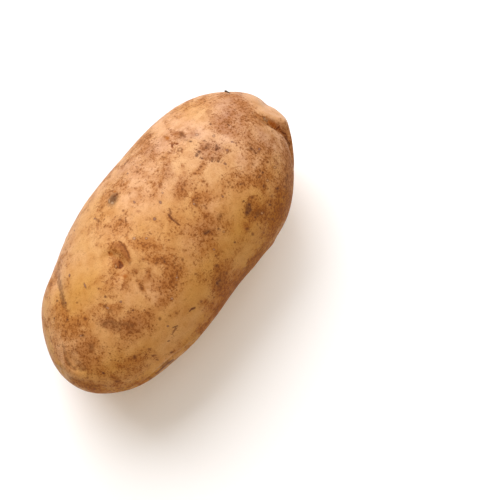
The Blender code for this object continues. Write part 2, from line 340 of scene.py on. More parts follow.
# Brown, corky skin
RUSSET = patches(
    (233, 111, 46, 28, 55, 0.46), (236, 100, 22, 14, 80, 0.3), (222, 97, 18, 7, 5, 0.45),
    (262, 206, 24, 20, 0, 0.35), (251, 117, 22, 7, -8, 0.3), (264, 134, 46, 24, -25, 0.15),
    (252, 148, 34, 20, -35, 0.4), (268, 156, 28, 14, -50, 0.3), (207, 149, 30, 15, 10, 0.45),
    (214, 159, 18, 8, 0, 0.45), (230, 134, 22, 10, 20, 0.15), (197, 104, 40, 7, 22, 0.3),
    (178, 101, 30, 5, 32, 0.35), (160, 152, 26, 20, 60, 0.22), (176, 158, 24, 16, 0, 0.2),
    (150, 178, 30, 20, 40, 0.35), (140, 160, 30, 16, 50, 0.35), (125, 180, 24, 12, 50, 0.3),
    (150, 196, 22, 12, 20, 0.25), (208, 196, 16, 22, 0, 0.35), (231, 175, 22, 11, 20, 0.5),
    (268, 176, 34, 26, 90, 0.4), (236, 230, 26, 18, 40, 0.18), (200, 250, 26, 18, 60, 0.35),
    (146, 244, 30, 14, -20, 0.4), (104, 280, 26, 14, 60, 0.25), (92, 310, 26, 12, 20, 0.45),
    (128, 306, 34, 12, 10, 0.35), (55, 352, 20, 10, -70, 0.12), (82, 352, 34, 22, -40, 0.45),
    (120, 368, 40, 20, 10, 0.12), (208, 219, 30, 18, 0, 0.45), (175, 222, 26, 14, -30, 0.3),
    (112, 193, 44, 20, 50, 0.42), (227, 151, 8, 6, 0, 0.55), (177, 134, 16, 8, -15, 0.65),
    (194, 135, 11, 7, 0, 0.2), (166, 137, 7, 5, 0, 0.6), (177, 117, 10, 6, 20, 0.65),
    (164, 122, 6, 6, 0, 0.35), (148, 136, 6, 6, 45, 0.65), (145, 147, 28, 13, 45, 0.5),
    (153, 148, 9, 6, 90, 0.5), (126, 162, 14, 6, 45, 0.55), (120, 168, 8, 6, 45, 0.35),
    (138, 170, 10, 7, 20, 0.65), (143, 163, 10, 8, 90, 0.35), (166, 170, 26, 13, 90, 0.5),
    (182, 188, 22, 15, 60, 0.75), (182, 165, 10, 8, 0, 0.35), (195, 172, 8, 6, 0, 0.35),
    (203, 181, 8, 6, 0, 0.3), (156, 186, 14, 10, 0, 0.45), (135, 189, 11, 6, -15, 0.45),
    (201, 166, 12, 8, 30, 0.35), (196, 200, 18, 12, 80, 0.65), (206, 213, 16, 5, 85, 0.45),
    (203, 232, 24, 12, 0, 0.95), (214, 247, 22, 10, -60, 0.6), (225, 228, 16, 10, 60, 0.4),
    (170, 256, 18, 12, 60, 0.5), (152, 259, 28, 7, 0, 0.6), (170, 277, 28, 17, 80, 0.8),
    (161, 286, 16, 8, 20, 0.6), (165, 298, 18, 14, 80, 0.7), (220, 280, 40, 17, 85, 0.95),
    (207, 301, 18, 10, 25, 0.6), (240, 185, 18, 12, -10, 0.95), (254, 180, 24, 18, 0, 0.55),
    (247, 207, 18, 7, 70, 0.75), (257, 213, 15, 13, 0, 0.75), (251, 197, 6, 6, 0, 0.55),
    (262, 187, 16, 6, 90, 0.45), (272, 205, 36, 12, 80, 0.3), (283, 188, 60, 13, 88, 0.7),
    (262, 226, 18, 8, 80, 0.55), (272, 220, 12, 8, 60, 0.5), (247, 228, 9, 7, -30, 0.65),
    (248, 242, 14, 8, 0, 0.4), (262, 236, 8, 5, 0, 0.45), (117, 246, 17, 9, -20, 1.0),
    (121, 249, 14, 8, -40, 0.6), (125, 252, 14, 6, -60, 0.95), (118, 256, 20, 18, 0, 0.3),
    (117, 262, 15, 11, 0, 0.75), (117, 276, 12, 9, 90, 0.45), (124, 286, 9, 6, 90, 0.35),
    (121, 222, 16, 11, 0, 0.6), (100, 222, 13, 12, 0, 0.55), (124, 211, 8, 5, 0, 0.4),
    (139, 240, 20, 8, 0, 0.25), (134, 271, 8, 5, 0, 0.25), (141, 287, 8, 4, -50, 0.55),
    (147, 297, 7, 4, -45, 0.6), (148, 273, 9, 4, -80, 0.45), (116, 307, 20, 9, 20, 0.75),
    (105, 305, 9, 5, 0, 0.65), (110, 322, 28, 15, -20, 0.85), (127, 324, 18, 16, 0, 0.85),
    (141, 320, 24, 24, 0, 0.5), (132, 335, 22, 9, 0, 0.3), (125, 344, 16, 11, 30, 0.5),
    (58, 322, 46, 18, 85, 0.5), (64, 309, 24, 8, -75, 0.65), (75, 326, 20, 18, 0, 0.6),
    (85, 319, 8, 7, 0, 0.45), (90, 344, 21, 16, 0, 0.9), (83, 334, 12, 8, 0, 0.5),
    (137, 358, 18, 13, 0, 0.45), (105, 360, 26, 18, 0, 0.3), (88, 363, 26, 18, 0, 0.55),
    (116, 379, 12, 8, -60, 0.8), (103, 373, 18, 11, 0, 0.45), (94, 385, 16, 6, 0, 0.7),
    (137, 371, 22, 12, 0, 0.5), (100, 381, 34, 12, 0, 0.45), (155, 357, 11, 6, 0, 0.3),
    (171, 352, 10, 6, 0, 0.6), (148, 348, 11, 7, 0, 0.4), (176, 312, 6, 5, 0, 0.35),
)

# Smooth, light skin, which holds the brown back. The lines after it are painted highlights that hold it
# back too, on the lit edges of the belly eye's and bud end's brows, the ridges and fold near the bottom
# and the lower left limb.
CLEAR = patches(
    (88, 270, 56, 30, 75, 0.8), (132, 299, 26, 12, 0, 0.6), (108, 341, 24, 15, -60, 0.8),
    (160, 232, 34, 16, 60, 0.6), (213, 178, 32, 18, 60, 0.7), (194, 163, 16, 12, 0, 0.45),
    (200, 186, 24, 12, 60, 0.5), (235, 162, 26, 10, -10, 0.45), (192, 122, 20, 12, 0, 0.5),
    (256, 103, 30, 10, -30, 0.7), (277, 114, 22, 9, -45, 0.8), (192, 258, 44, 16, 80, 0.5),
    (190, 316, 54, 24, 70, 0.6), (232, 206, 34, 12, 85, 0.55), (246, 262, 28, 18, 40, 0.7),
    (145, 208, 30, 20, 45, 0.4), (166, 322, 46, 24, 60, 0.85), (194, 286, 26, 12, 75, 0.7),
    (150, 352, 34, 14, 20, 0.55), (122, 356, 30, 10, 10, 0.55), (46, 350, 24, 12, -70, 0.6),
    (158, 364, 14, 8, 0, 0.4), (172, 336, 26, 14, 60, 0.6), (146, 340, 16, 10, 0, 0.5),
    (262, 108, 34, 12, -35, 0.6),
)

HIGHLIGHT_LINES = lines(
    Smear,
    (0.5, 4.0, (97, 351), (104, 358), (112, 368), (119, 379)),
    (0.5, 6.0, (124, 354), (136, 346), (150, 341)),
    (0.6, 6.0, (140, 381), (150, 372), (161, 363)),
    (0.4, 5.0, (60, 340), (66, 352), (76, 362)),
    (0.4, 4.0, (78, 372), (92, 378), (108, 388)),
    (0.85, 4.0, (123.6, 239.6), (128.8, 246), (132, 252.6), (135, 259)),
    (0.55, 6.0, (48, 340), (54, 356), (63, 370)),
)

# Dark, dull skin with soil in it, and painted shade along the shoulder groove and under the fold at the
# bottom
SOIL_AND_SHADE_PATCHES = patches(
    (206, 147, 12, 7, 0, 0.45), (117, 246, 13, 7, -25, 0.22), (197, 153, 10, 7, 20, 0.45),
    (215, 148, 5, 8, 0, 0.35), (181, 134, 10, 6, -42, 0.65), (214, 159, 12, 6, 0, 0.4),
    (149, 136, 5, 4, 45, 0.45), (247, 209, 16, 8, 75, 0.8), (256, 214, 12, 8, 0, 0.4),
    (206, 232, 12, 6, 20, 0.7), (105, 321, 16, 10, -25, 0.45), (120, 325, 34, 12, -10, 0.45),
    (112, 310, 14, 5, 20, 0.4), (93, 347, 14, 8, 0, 0.45), (60, 288, 36, 5, -76, 0.4),
    (221, 216, 14, 11, 60, 0.4), (153, 147, 7, 5, 90, 0.35), (220, 281, 22, 9, 88, 0.45),
    (286, 186, 30, 6, 88, 0.45), (251, 149, 14, 6, -35, 0.45), (224, 122, 8, 5, -20, 0.35),
    (135, 357, 6, 6, 0, 0.45), (116, 379, 8, 5, -60, 0.45), (94, 385, 12, 4, 0, 0.45),
    (62, 366, 10, 6, -55, 0.4), (82, 335, 8, 6, 0, 0.45), (166, 362, 20, 4, 35, 0.5),
)

# Where the light skin is more olive than peach, partly painted warm shade towards the lower right. The
# lines paint warm shade down the right limb and warm reflected light along the lower left and bottom limbs.
OLIVE = patches(
    (200, 300, 120, 56, 62, 0.42), (250, 235, 80, 56, 60, 0.54), (268, 185, 50, 40, 60, 0.28),
    (120, 370, 110, 40, 20, 0.5), (72, 306, 60, 36, 80, 0.38), (135, 250, 110, 66, 35, 0.23),
    (85, 270, 80, 50, 75, 0.26),
)
LIMB_SHADE_AND_BOUNCE_LINES = lines(
    Smear,
    # painted shade, a deeper gold down the right limb
    (0.9, 16.0, (284, 196), (277, 220), (262, 248), (246, 273), (228, 298), (207, 323), (190, 345)),
    (0.2, 10.0, (54, 262), (48, 280), (44, 300), (43, 316)),
    # these two paint warm reflected light along the lower left and bottom limbs
    (0.45, 9.0, (45, 330), (50, 348), (58, 364), (70, 378)),
    (0.8, 10.0, (74, 381), (88, 388), (108, 392), (128, 389), (142, 382), (152, 374)),
)

# Soft dark lines. The first are painted shade along the shoulder groove, the brows of the bud end and
# belly eye, the ridge under the belly eye, the stem crease, under the fold at the bottom and down the
# right limb. The brown ones after them are russet, with painted shade down the right limb and along the
# bottom edge.
SHADE_LINES = lines(
    Smear,
    (0.3, 6.0, (57, 262), (57.4, 272), (59, 281), (61, 289), (62.4, 297), (64, 303), (67, 309)),
    (0.45, 4.0, (63, 343), (64.4, 352), (66, 358), (69, 363), (74, 367)),
    (0.35, 5.0, (74, 367), (80, 369.4), (86, 368)),
    (0.25, 3.0, (128, 258), (130, 263), (133, 269)),
    (0.25, 4.0, (133, 272), (137, 279), (141, 286), (147, 297), (152, 303)),
    (0.45, 3.6, (150, 378), (158, 372), (164, 367), (170, 362.6), (178, 358)),
    (0.35, 3.0, (272, 157), (276, 161.4), (279, 166)),
    (0.5, 4.0, (284, 134), (287.6, 142), (290, 150)),
    (0.2, 9.0, (274, 230), (262, 249), (247, 270), (232, 291), (216, 312)),
)
RUSSET_AND_SHADE_LINES = lines(
    Smear,
    (0.45, 2.4, (252, 116), (257, 115), (262, 116.6)),
    (0.35, 2.6, (267, 124), (272, 128.4), (277, 131.4)),
    (0.35, 4.0, (134, 272), (138, 280), (143, 289), (149, 299)),
    (0.8, 4.0, (118, 244.4), (122.6, 248), (126, 253), (128.4, 259)),
    # painted shade, darkening the lower right limb
    (0.8, 15.0, (268, 244), (254, 263), (239, 285), (223, 306), (208, 327), (196, 343)),
    (0.6, 9.0, (58, 266), (51, 282), (47, 296)),
    (0.4, 10.0, (150, 128), (128, 150), (108, 172), (90, 198)),
    (0.2, 8.0, (90, 198), (76, 226), (64, 248), (57, 268)),
    (0.2, 11.0, (48, 306), (45, 322), (48, 338)),
    (0.4, 14.0, (289, 142), (291, 155), (290, 172)),
    (0.8, 14.0, (290, 172), (287, 195), (281, 214), (272, 233)),
    (0.45, 5.0, (281, 131.6), (285, 136), (288, 142)),
    (0.4, 12.0, (266, 246), (252, 266), (236, 288), (220, 308), (204, 328), (190, 345)),
    (0.35, 10.0, (72, 380), (92, 388), (118, 389), (140, 382)),
    # painted contact shade along the bottom edge
    (0.6, 5.0, (128, 386), (138, 382), (146, 377)),
)

# A mauve flush under the brown
FLUSH = patches(
    (230, 113, 42, 34, 50, 0.75), (233, 100, 26, 16, 70, 0.5), (252, 134, 44, 28, -30, 0.36),
    (210, 150, 28, 18, 8, 0.85), (195, 134, 12, 9, 0, 0.85), (225, 128, 22, 14, 0, 0.45),
    (266, 140, 26, 12, -50, 0.5), (184, 138, 12, 9, 0, 0.45), (151, 150, 34, 18, 50, 0.45),
    (126, 166, 30, 12, 48, 0.4), (183, 186, 22, 16, 60, 0.45), (167, 172, 24, 14, 90, 0.4),
    (127, 324, 28, 16, 0, 0.6), (104, 322, 20, 12, -20, 0.5), (140, 268, 26, 18, -50, 0.4),
    (206, 228, 20, 12, 0, 0.4),
)

# Where small dark specks crowd
SPECKED = patches(
    (209, 150, 30, 20, 10, 0.9), (238, 114, 40, 28, 55, 0.65), (250, 146, 34, 22, -35, 0.8),
    (231, 178, 30, 20, 20, 0.7), (250, 182, 26, 18, 0, 0.6), (255, 210, 24, 18, 0, 0.85),
    (262, 228, 22, 12, 70, 0.6), (205, 231, 28, 14, 0, 0.75), (183, 187, 26, 18, 60, 0.5),
    (198, 200, 24, 18, 60, 0.6), (171, 277, 28, 18, 80, 0.7), (219, 282, 44, 20, 85, 0.75),
    (127, 324, 32, 20, 0, 0.85), (105, 322, 26, 16, -20, 0.75), (94, 350, 34, 22, 0, 0.7),
    (130, 362, 46, 28, 0, 0.65), (60, 330, 46, 26, 85, 0.55), (142, 318, 26, 26, 0, 0.65),
    (150, 146, 30, 14, 45, 0.45), (117, 222, 34, 16, 0, 0.45), (117, 250, 22, 14, -30, 0.8),
    (104, 380, 50, 16, 0, 0.6), (275, 190, 30, 60, 0, 0.55),
)

# Where it is creamier, partly painted light that makes the upper, lit side creamier
PALE_AND_LIT = patches(
    (240, 132, 110, 70, -20, 1.0), (192, 150, 90, 54, 30, 0.95), (145, 164, 84, 38, 50, 0.58),
    (88, 248, 44, 28, 70, 0.55), (214, 168, 60, 46, 20, 0.5), (165, 155, 50, 36, 40, 0.3),
)

# Where it is a deeper orange brown: painted warm shade down the lower right limb and along the bottom edge
DEEP_SHADE_LINES = lines(
    Smear,
    (0.65, 14.0, (240, 272), (228, 290), (214, 310), (202, 328)),
    (0.6, 9.0, (92, 392), (110, 394), (128, 391), (142, 384), (152, 376)),
)

# Where the skin swells past the solid's formulas, or sinks, with heights in millimetres
BULGES = patches(
    (282, 121, 18, 10, -58, 0.9), (266, 104, 9, 12, 50, -0.8), (190, 103, 60, 14, 28, 0.6),
)

LAYERS = {
    "russet_and_shade": Layer(RUSSET, RUSSET_AND_SHADE_LINES, 100, 13 * MM, 0.90),
    "clear_and_highlight": Layer(CLEAR, HIGHLIGHT_LINES, 16, 20 * MM, 0.90),
    "soil_and_shade": Layer(SOIL_AND_SHADE_PATCHES, SHADE_LINES, 24, 6 * MM, 0.70),
    "olive": Layer(OLIVE, LIMB_SHADE_AND_BOUNCE_LINES, 9, 50 * MM, 0.42, 0.7),
    "flush": Layer(FLUSH, (), 24, 16 * MM, 0.70, 0.3),
    "specked": Layer(SPECKED, (), 50, 16 * MM, 0.90),
    "pale": Layer(PALE_AND_LIT, (), 6, 50 * MM, 0.42, 0.7),
    "deep": Layer((), DEEP_SHADE_LINES, 6, 40 * MM, 0.30, 0.7),
}

# sRGB colours of a mark's rim and of its middle, its strength, and how far it stands out
TONES = {
    "soot": Tone((116, 70, 42), (76, 44, 26), 0.80, 0.0),
    "brown": Tone((130, 78, 40), (106, 60, 28), 0.72, 0.02 * MM),
    "rust": Tone((150, 92, 48), (140, 82, 42), 0.50, 0.02 * MM),
    "orange": Tone((166, 100, 42), (156, 88, 30), 0.80, 0.0),
    "violet": Tone((112, 70, 50), (134, 98, 86), 0.85, 0.08 * MM),
    "pore": Tone((132, 88, 58), (172, 138, 114), 0.80, 0.10 * MM),
    "ring": Tone((110, 64, 34), (188, 142, 98), 0.75, 0.06 * MM),
    "pebble": Tone((128, 96, 68), (164, 134, 104), 0.90, 0.10 * MM),
    "cream": Tone((170, 128, 80), (206, 178, 136), 0.75, 0.03 * MM),
    # partly painted shade, darkening the stem crease and the pits
    "pit": Tone((130, 66, 16), (88, 38, 8), 0.92, -0.14 * MM),
    "cut": Tone((124, 70, 34), (90, 46, 20), 0.92, -0.10 * MM),
    "hollow": Tone((172, 98, 28), (156, 82, 14), 0.88, -0.16 * MM),
    "scar": Tone((128, 88, 54), (98, 66, 40), 0.90, 0.10 * MM),
}

SPOTS = {
    "soot": (
        (196, 155, 3.4, 3.2), (198.4, 151.4, 4, 2.6), (215.6, 149.4, 2.6, 3), (201.6, 158, 3, 2),
        (215.8, 145, 2, 2.4), (218.6, 147.8, 2.6, 2), (211.4, 161, 2.2, 1.8), (217.6, 161.4, 2.6, 1.8),
        (224.2, 163, 2.2, 2), (203.6, 140.2, 2.6, 1), (205.4, 148, 3, 2), (190, 141, 3.4, 1.8),
        (228, 125, 3.6, 1.6, -30), (209.8, 124, 2.6, 1.6, -20), (251, 149, 4, 1.6, -15),
        (255, 153, 3, 1.8, -20), (262.2, 172.4, 2.6, 2.6), (258.6, 177, 3, 2, 20), (246.5, 212.5, 4.5, 4),
        (248.5, 204.5, 3, 3), (243, 201, 2.4, 2), (250, 209, 2, 4), (254.5, 217, 2.2, 2.4),
        (205, 233, 3.6, 2), (208.4, 230.8, 3, 1.8, 30), (218, 228.5, 2.2, 1.8), (219.5, 280, 2.4, 1.8),
        (217, 283, 3, 4), (193.5, 308, 4, 2, 25), (168.6, 340.6, 3, 1.4, 20),
        (164.4, 261.4, 2.4, 1.8, -60), (105, 296, 2.4, 2.4), (132.6, 309.6, 2.4, 1.8),
        (103.2, 372.5, 3.4, 2, -30), (67.5, 319, 2.4, 2), (82.6, 334.6, 2, 2.6), (54, 317.5, 1.6, 2.4),
        (171.6, 352, 3.4, 2, 20), (277, 188.5, 3, 3), (269.5, 204.5, 2.2, 2.4), (263, 186, 1.6, 4),
        (287.4, 142, 1.6, 4, 15), (240, 184, 2.6, 2.2), (57, 300, 2.4, 2), (124.6, 163.3, 2.6, 1.4, 45),
        (65.5, 302, 2.4, 2), (234.4, 242, 2.2, 2), (124.6, 251.5, 3, 2.6, -50),
    ),
    "brown": (
        (207.4, 144.4, 4.6, 3.4), (116.6, 381, 4.5, 2.4, -20), (134.5, 356.5, 3.6, 4),
        (141.5, 287, 3.2, 2, -45), (162, 257.6, 5, 1.8, -45), (173.2, 331.6, 3.6, 1.2, 60),
        (175.3, 328.6, 3.6, 1.3, 35), (218.2, 158, 3, 2.8), (212, 158, 4, 2.8),
        (181, 133.4, 6.4, 4.4, -40), (184, 136, 3, 2.4, -40), (233, 127, 2, 2.4), (235.5, 143, 2.4, 2),
        (227.4, 151.6, 3, 2), (252, 164, 1.8, 2.8), (259.4, 170.6, 1.8, 2.6), (253.4, 175, 3, 2),
        (243.4, 183.6, 2.2, 2.4), (232, 187, 3, 2, 30), (228, 182, 2.4, 2.4), (251.4, 197, 3.4, 3.4),
        (249, 144, 3, 2.4), (245.4, 117, 2.4, 1.8), (234, 110, 2.4, 1.8), (204, 205.4, 2.2, 2),
        (206, 208, 2, 2.2), (193, 199.4, 3, 2), (196.6, 198, 2.2, 2.2), (196, 205, 3, 4),
        (203, 181, 3.4, 2.4), (194.4, 173, 3, 2.4), (198.6, 169, 2.4, 1.8), (200.6, 166, 3, 2),
        (182, 189, 3.4, 3), (184, 183.6, 2.4, 2), (168.4, 239.6, 2.4, 1.8), (182.2, 259, 3, 2.8),
        (180.6, 268, 2.6, 2.6), (174, 255.4, 2.6, 1.8), (174.4, 262.6, 2.6, 1.8), (195.6, 273.5, 2.8, 1.8),
        (201, 301, 2.4, 2.6), (216, 255.6, 2.6, 2.2), (216.4, 265.4, 4.5, 3, -15), (226, 273, 3, 3.6),
        (177, 273, 1.8, 4, 10), (176, 284.4, 3, 2.4), (159.4, 287, 2.4, 1.8), (160.6, 293.6, 2, 2.2),
        (159.4, 318, 2.6, 3.4), (176, 312.4, 2.6, 1.8), (149, 348.4, 3, 1.8), (154, 355, 5, 1.8),
        (157.4, 359.4, 3, 1.6, -20), (143, 258.6, 3, 2), (156, 262.4, 3.6, 2, 25),
        (150, 233, 3.4, 1.6, -20), (125.5, 220.6, 2, 4, 10), (119.6, 219.4, 3, 2.6),
        (98.4, 220.6, 2.6, 3.4), (123, 210.6, 2.6, 2.4), (77, 301.8, 2.4, 1.8), (98.6, 288, 2.4, 1.8),
        (104.8, 305.2, 3.6, 2.6), (133, 316.8, 2.6, 1.8), (85.4, 318, 3, 2.8), (65.6, 330.4, 2, 2.4),
        (163.6, 157, 2.4, 2), (165.6, 173.6, 1.4, 3.4, 10), (137, 171.6, 3.4, 2.6),
        (246.6, 228.6, 4, 3.2, -20), (252.4, 234, 3, 3), (271, 196, 2.4, 3), (272, 218.8, 3.4, 2.4),
        (267, 162, 3, 2.2), (284, 186.6, 2.4, 3), (286.6, 176, 1.8, 4, 5), (283, 197, 1.8, 4),
        (169.7, 210.6, 1.6, 4.6, 15), (169.8, 216, 2, 4.6, 35), (175, 220.6, 9, 1.4, -40),
    ),
    "rust": (
        (115.6, 261.6, 6.4, 5.4, -20), (174.6, 132.4, 8, 4), (277, 124.4, 2.8, 2.2), (271.4, 120.4, 3, 2),
        (234, 167.4, 4.5, 1.1, 20), (231, 168.6, 3, 1.1, -30), (238.4, 166.6, 2.4, 1.1, -10),
        (276, 162, 9, 2, -52), (146, 219.6, 3, 1.6), (138, 211, 5, 2.6), (208, 112, 6, 5),
        (183.6, 171.4, 3.4, 1.8), (182, 165, 3, 2), (169, 162, 1.6, 6, 15), (258.6, 115.8, 6, 1.4, -20),
        (154, 184, 4, 2.6), (160, 187.6, 4, 2), (97.6, 228, 2.4, 5, 15), (124, 284, 3, 5, 15),
        (136, 270, 4, 2, -30), (149, 277, 2, 6, 8), (140, 322, 3, 2.4),
    ),
    "orange": (
        (110.4, 253.6, 5, 4, -20), (166.6, 137.6, 4, 3, -10), (115, 191.6, 3, 1.8), (124.4, 275.4, 4, 3.4),
    ),
    "violet": (
        (224.6, 163.6, 3, 2.2, -30), (226.4, 150, 2.6, 2.4), (222, 196, 2.8, 1.7, -40),
        (160, 202, 2.8, 3.2, 40), (134, 201.8, 3, 2, -40), (154.2, 218.6, 3, 3.2), (95, 218.4, 2.4, 1.6),
        (85, 285, 1.7, 5.4, 25), (69.6, 275, 2, 3), (120.6, 301, 2.2, 2.4), (167.4, 325.4, 2.2, 2),
        (127.4, 173.4, 2, 1.6), (74.2, 230, 1.4, 1.8), (231.4, 141.8, 2.4, 1.8), (258.4, 149, 2.6, 3),
    ),
    "pore": (
        (213, 136, 3, 2.6), (196.4, 134.4, 4, 3), (134, 238, 3.6, 3), (146, 237.8, 2.8, 2.4),
        (162, 192.6, 2.4, 1.8, -40), (140, 164.6, 1.8, 1.6), (193.4, 203.4, 2.6, 2),
        (171.4, 298, 2.8, 2.6), (107.6, 307.4, 2.6, 1.8), (213.6, 249, 2.2, 2), (80.6, 335, 2, 1.8),
        (176.6, 277, 2.4, 2),
    ),
    "ring": (
        (274, 167.4, 3.4, 3), (261.2, 213, 3.6, 3.4), (266.6, 180.4, 3.4, 3), (179.2, 149, 4.6, 3.8, 20),
        (223.4, 231.4, 2.6, 2.2),
    ),
    "pebble": (
        (264.9, 119.5, 6.4, 3.2, -42), (112.4, 203, 4.8, 3, 12), (109.6, 201, 2, 4),
    ),
    "cream": (
        (118.8, 264.4, 1.3, 1.0), (115.2, 265.4, 1.0, 0.9), (124.7, 274.6, 1.4, 1.2),
    ),
    "hollow": (
        (272.6, 124.6, 12.4, 4.4, -38),
    ),
    "scar": (
        (113.4, 199.2, 13.4, 8.4, 62),
    ),
    "pit": (
        (171.4, 144.4, 2.2, 6, 8), (176.2, 143, 3.4, 2, 10), (114.6, 196.4, 6.4, 3.4, 28),
        (112, 200, 2.4, 2.2), (114.6, 200.4, 2, 2.4), (117, 194.4, 2.2, 2), (119.4, 261.6, 5.6, 3.0, -35),
        (119.8, 264.4, 4.4, 3.6), (121.8, 265, 2.8, 4.0), (119.2, 267.2, 4.0, 2.4), (114.4, 264, 1.6, 2),
        (116.2, 267.4, 2.2, 1.4, 20), (116.8, 262.4, 2.2, 1.6), (262.7, 117, 3.6, 1.8, -30),
        (108.6, 252.2, 1.6, 1.6), (273.6, 123, 3, 1.8, -15), (278, 126.6, 2.2, 2.8),
        (277.8, 128.8, 2.4, 2),
    ),
}

# Lines along a route of photo pixels. The dark strokes along the brows of the belly eye and bud end, in
# the stem crease and under the fold at the bottom are partly painted shade.
STROKES = lines(
    Stroke,
    ("rust", 3.4, (116, 244.6), (120, 246), (123.6, 250.4), (126.6, 256)),
    ("brown", 1.5, (120, 241.8), (123.6, 245.6), (126.8, 250.8), (129.4, 257.4)),
    ("rust", 1.6, (264.6, 117.4), (268, 118.8), (270.4, 120.4)),
    ("pit", 1.3, (268.4, 124.2), (272.4, 127), (276.4, 129.6)),
    ("cut", 2.0, (278.4, 128.6), (280.2, 131), (282.4, 133), (284.6, 133.8)),
    ("soot", 1.8, (285, 138), (286.8, 141), (288.4, 143.6)),
    ("rust", 1.4, (64, 351), (65, 358), (67, 363), (71, 367.4), (75, 369)),
    ("brown", 1.8, (156, 372.6), (160, 369.4), (164, 365.8), (168, 362.4), (173, 359.6)),
    ("brown", 1.6, (169.2, 208.6), (170.6, 212.8)),
    ("cut", 2.4, (168.6, 214.6), (171.4, 218.6)),
    ("cut", 1.6, (171.4, 218.6), (175, 221.6), (179, 224.4)),
    ("cut", 1.8, (191.6, 308.6), (194.4, 307.4)),
    ("cut", 1.2, (189.4, 310.8), (191.6, 308.8)),
    ("brown", 1.4, (175.6, 328), (172.6, 332.6)),
    ("soot", 1.1, (177, 325.2), (172.6, 327)),
    ("rust", 1.1, (230, 168.4), (232, 167.4), (235, 167.6), (238.4, 166)),
    ("brown", 1.3, (124, 163.6), (128, 160)),
)


# The tuber's form

def smooth_through(stations, along):
    """The value at along, from -1 to 1, of a smooth curve through evenly spaced stations."""
    padded = np.array((stations[0], *stations, stations[-1]), float)
    place = (np.asarray(along, float) + 1) / 2 * (len(stations) - 1)
    first = np.clip(np.floor(place).astype(int), 0, len(stations) - 2)
    t = place - first
    before, start, end, after = (padded[first + k] for k in range(4))
    slope_in = (end - before) / 2
    slope_out = (after - start) / 2
    rise = end - start
    bend = 3 * rise - 2 * slope_in - slope_out
    return start + t * (slope_in + t * (bend + t * (slope_in + slope_out - 2 * rise)))


def body_points(directions):
    """Points of the plain body, one for each unit vector from the middle of the tuber."""
    along, left, up = directions.T
    ring = np.sqrt(np.maximum(1 - np.abs(along) ** BLUNTNESS, 0) / np.maximum(1 - along**2, TINY))
    half_width = ring * smooth_through(WIDTH_SHARE, along) * WIDTH / 2
    half_height = ring * smooth_through(HEIGHT_SHARE, along) * HEIGHT / 2
    y = smooth_through(MIDDLE_LEFT, along) + left * half_width
    z = smooth_through(MIDDLE_UP, along) + up * half_height
    return np.stack([along * LENGTH / 2, y, z], axis=1)


def outward(points):
    """Unit vectors that point out of the body, taken from the ellipsoid of the same size."""
    scaled = points / np.array([LENGTH**2, WIDTH**2, HEIGHT**2])
    return scaled / np.linalg.norm(scaled, axis=1, keepdims=True)


def place_on_body(along, around):
    """A point of the plain body, and the unit vectors there out of it, to the stem and across."""
    angle = math.radians(around)
    off_axis = math.sqrt(1 - along**2)
    direction = np.array([[along, off_axis * math.sin(angle), off_axis * math.cos(angle)]])
    point = body_points(direction)
    out = outward(point)[0]
    stemward = np.array([1.0, 0.0, 0.0]) - out[0] * out
    stemward /= np.linalg.norm(stemward)
    return point[0], out, stemward, np.cross(out, stemward)


def smooth_step(share):
    """A rise from 0 to 1 that starts and ends level, as share goes from 0 to 1."""
    share = np.clip(share, 0, 1)
    return share**2 * (3 - 2 * share)


def swell_height(points, swell):
    middle = place_on_body(swell.along, swell.around)[0]
    distance = np.linalg.norm(points - middle, axis=1)
    return swell.height * np.exp(-((distance / swell.spread) ** 2))


def eye_height(points, eye):
    """A scoop with a low bud in its middle, and the brow over it."""
    middle, _, stemward, across = place_on_body(eye.along, eye.around)
    turn = math.radians(eye.turn)
    facing = math.cos(turn) * stemward + math.sin(turn) * across
    offset = points - middle
    distance = np.linalg.norm(offset, axis=1)
    towards_brow = offset @ facing
    edge = smooth_step((eye.size - distance) / (EYE_EDGE * eye.size))
    scoop = edge * np.exp(-(((eye.size - towards_brow) / (EYE_SLOPE * eye.size)) ** 2))
    bud = np.exp(-((distance / (EYE_BUD * eye.size)) ** 2))
    brow = np.exp(-(((distance - BROW_DISTANCE * eye.size) / (BROW_WIDTH * eye.size)) ** 2))
    brow *= np.clip(towards_brow / np.maximum(distance, TINY), 0, 1)
    return eye.brow * brow - eye.depth * (scoop - EYE_BUD_HEIGHT * bud)


def groove_route(groove):
    """Points along a groove on the plain body, their places from -1 to 1, and unit vectors to its left."""
    steps = np.linspace(-1, 1, ROUTE_STEPS)
    places = np.array(groove.route)
    alongs = smooth_through(places[:, 0], steps)
    arounds = smooth_through(places[:, 1], steps)
    samples = [place_on_body(*place)[:2] for place in zip(alongs, arounds)]
    route, out = (np.array(column) for column in zip(*samples))
    leftward = np.cross(out, np.gradient(route, axis=0))
    return route, steps, leftward / np.linalg.norm(leftward, axis=1, keepdims=True)


def beside_route(points, route, leftward):
    """For each point, the nearest step of a route, the distance to it, and how far to its left it lies."""
    nearest = np.zeros(len(points), int)
    distance = np.full(len(points), np.inf)
    for step, middle in enumerate(route):
        here = np.linalg.norm(points - middle, axis=1)
        closer = here < distance
        nearest[closer] = step
        distance[closer] = here[closer]
    left = np.einsum("ij,ij->i", points - route[nearest], leftward[nearest])
    return nearest, distance, left


def groove_height(points, groove):
    """A valley along the route that fades out at its ends, with a lip on its left."""
    route, steps, leftward = groove_route(groove)
    nearest, distance, left = beside_route(points, route, leftward)
    fade = 1 - steps[nearest] ** 2
    valley = np.exp(-((distance / groove.width) ** 2))
    lip = np.exp(-(((distance - LIP_DISTANCE * groove.width) / (LIP_WIDTH * groove.width)) ** 2))
    lip *= np.clip(left / np.maximum(distance, TINY), 0, 1)
    return fade * (groove.lip * lip - groove.depth * valley)


